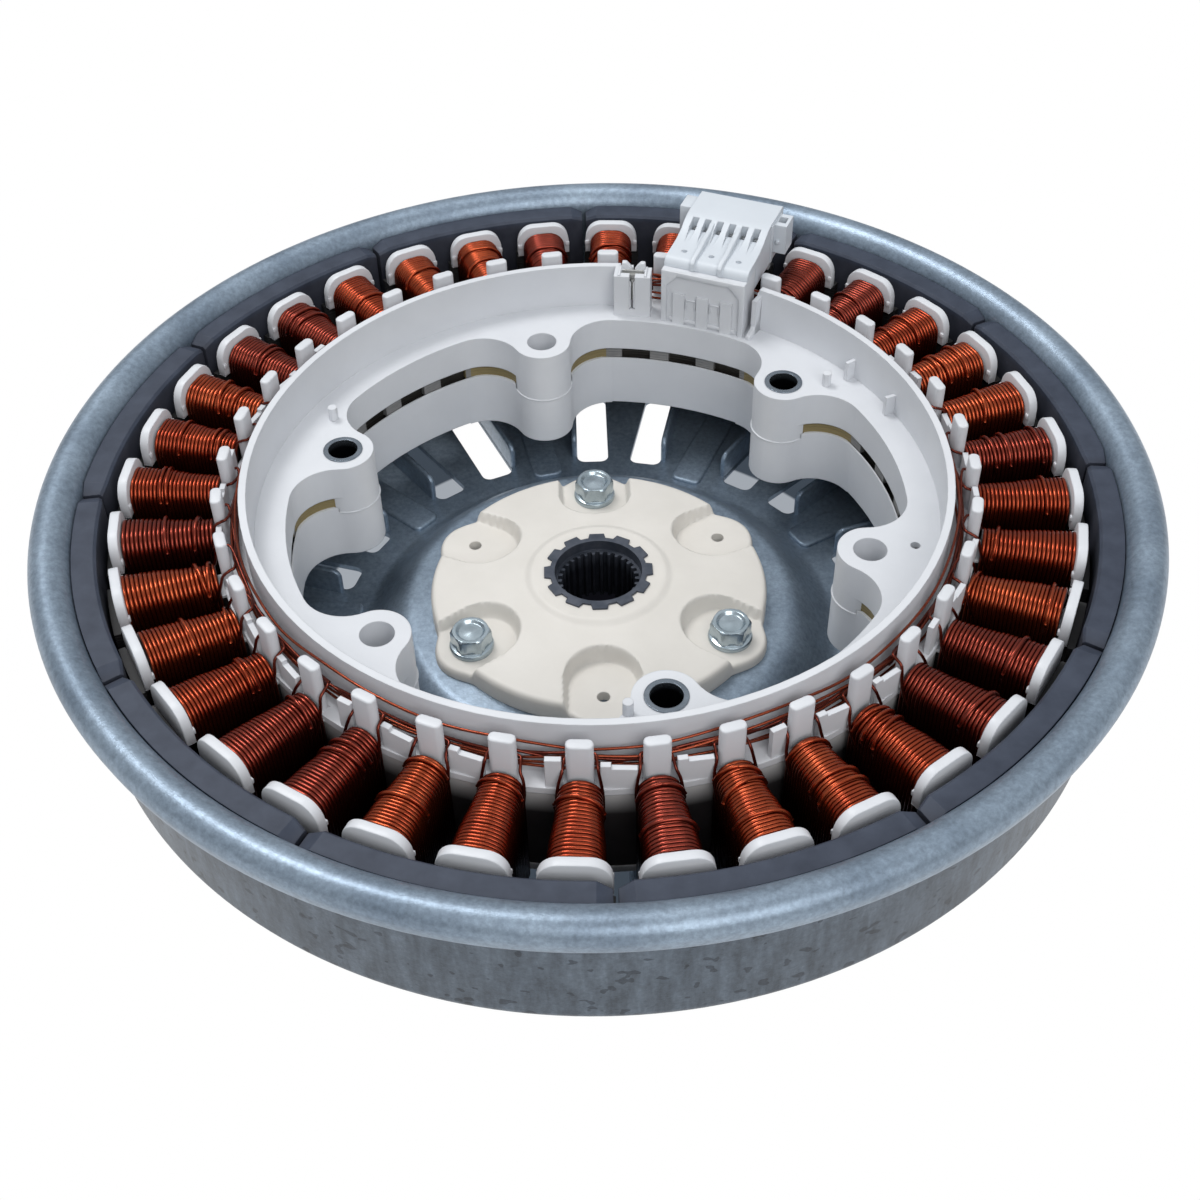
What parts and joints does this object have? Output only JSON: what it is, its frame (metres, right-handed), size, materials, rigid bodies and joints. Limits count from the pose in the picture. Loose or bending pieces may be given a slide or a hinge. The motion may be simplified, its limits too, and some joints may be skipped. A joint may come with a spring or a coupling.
{
  "type": "washing machine stator with rotor",
  "caption": "Direct-drive washing machine motor: a wound stator ring with white insulators and a wire connector, seated in a louvred steel outer rotor with magnets and a splined hub.",
  "frame": {"origin": "on the motor's axis, at the underside of the rotor's louvred floor", "axes": "+Z along the axis towards the rotor's open side, where the stator and its connector show; -Y faces the picture's camera"},
  "size_m": [0.2972, 0.2972, 0.0767],
  "materials": {
    "galvanised_steel": "satin galvanised sheet, mottled with dark marks",
    "ferrite": "matt dark grey ferrite",
    "ivory_plastic": "matt ivory moulding",
    "white_plastic": "white moulding with a soft sheen",
    "connector_plastic": "bright white moulding",
    "enamelled_copper": "red-brown enamelled copper wire",
    "lamination_steel": "stacked laminations, grey",
    "sintered_steel": "dark blue-grey sintered steel",
    "zinc_steel": "bright zinc plate",
    "tinned_metal": "tinned sheet metal"
  },
  "bodies": {
    "stator": {"stator_core": "lamination_steel", "upper_insulator": "white_plastic", "lower_insulator": "white_plastic", "lug_sleeves": "zinc_steel", "crossover_wires": "enamelled_copper", "terminal_clip": "tinned_metal", "connector_housing": "connector_plastic", "connector_contacts": "tinned_metal", "coil_01": "enamelled_copper", "coil_02": "enamelled_copper", "coil_03": "enamelled_copper", "coil_04": "enamelled_copper", "coil_05": "enamelled_copper", "coil_06": "enamelled_copper", "coil_07": "enamelled_copper", "coil_08": "enamelled_copper", "coil_09": "enamelled_copper", "coil_10": "enamelled_copper", "coil_11": "enamelled_copper", "coil_12": "enamelled_copper", "coil_13": "enamelled_copper", "coil_14": "enamelled_copper", "coil_15": "enamelled_copper", "coil_16": "enamelled_copper", "coil_17": "enamelled_copper", "coil_18": "enamelled_copper", "coil_19": "enamelled_copper", "coil_20": "enamelled_copper", "coil_21": "enamelled_copper", "coil_22": "enamelled_copper", "coil_23": "enamelled_copper", "coil_24": "enamelled_copper", "coil_25": "enamelled_copper", "coil_26": "enamelled_copper", "coil_27": "enamelled_copper", "coil_28": "enamelled_copper", "coil_29": "enamelled_copper", "coil_30": "enamelled_copper", "coil_31": "enamelled_copper", "coil_32": "enamelled_copper", "coil_33": "enamelled_copper", "coil_34": "enamelled_copper", "coil_35": "enamelled_copper", "coil_36": "enamelled_copper"},
    "rotor": {"rotor_cup": "galvanised_steel", "hub_plate": "ivory_plastic", "spline_bush": "sintered_steel", "hub_bolts": "zinc_steel", "magnets": "ferrite"}
  },
  "joints": [
    {"name": "rotor_spin", "type": "hinge", "parent": "stator", "child": "rotor", "pos_m": [0, 0, 0.02], "axis": [0, 0, 1], "continuous": true}
  ]
}
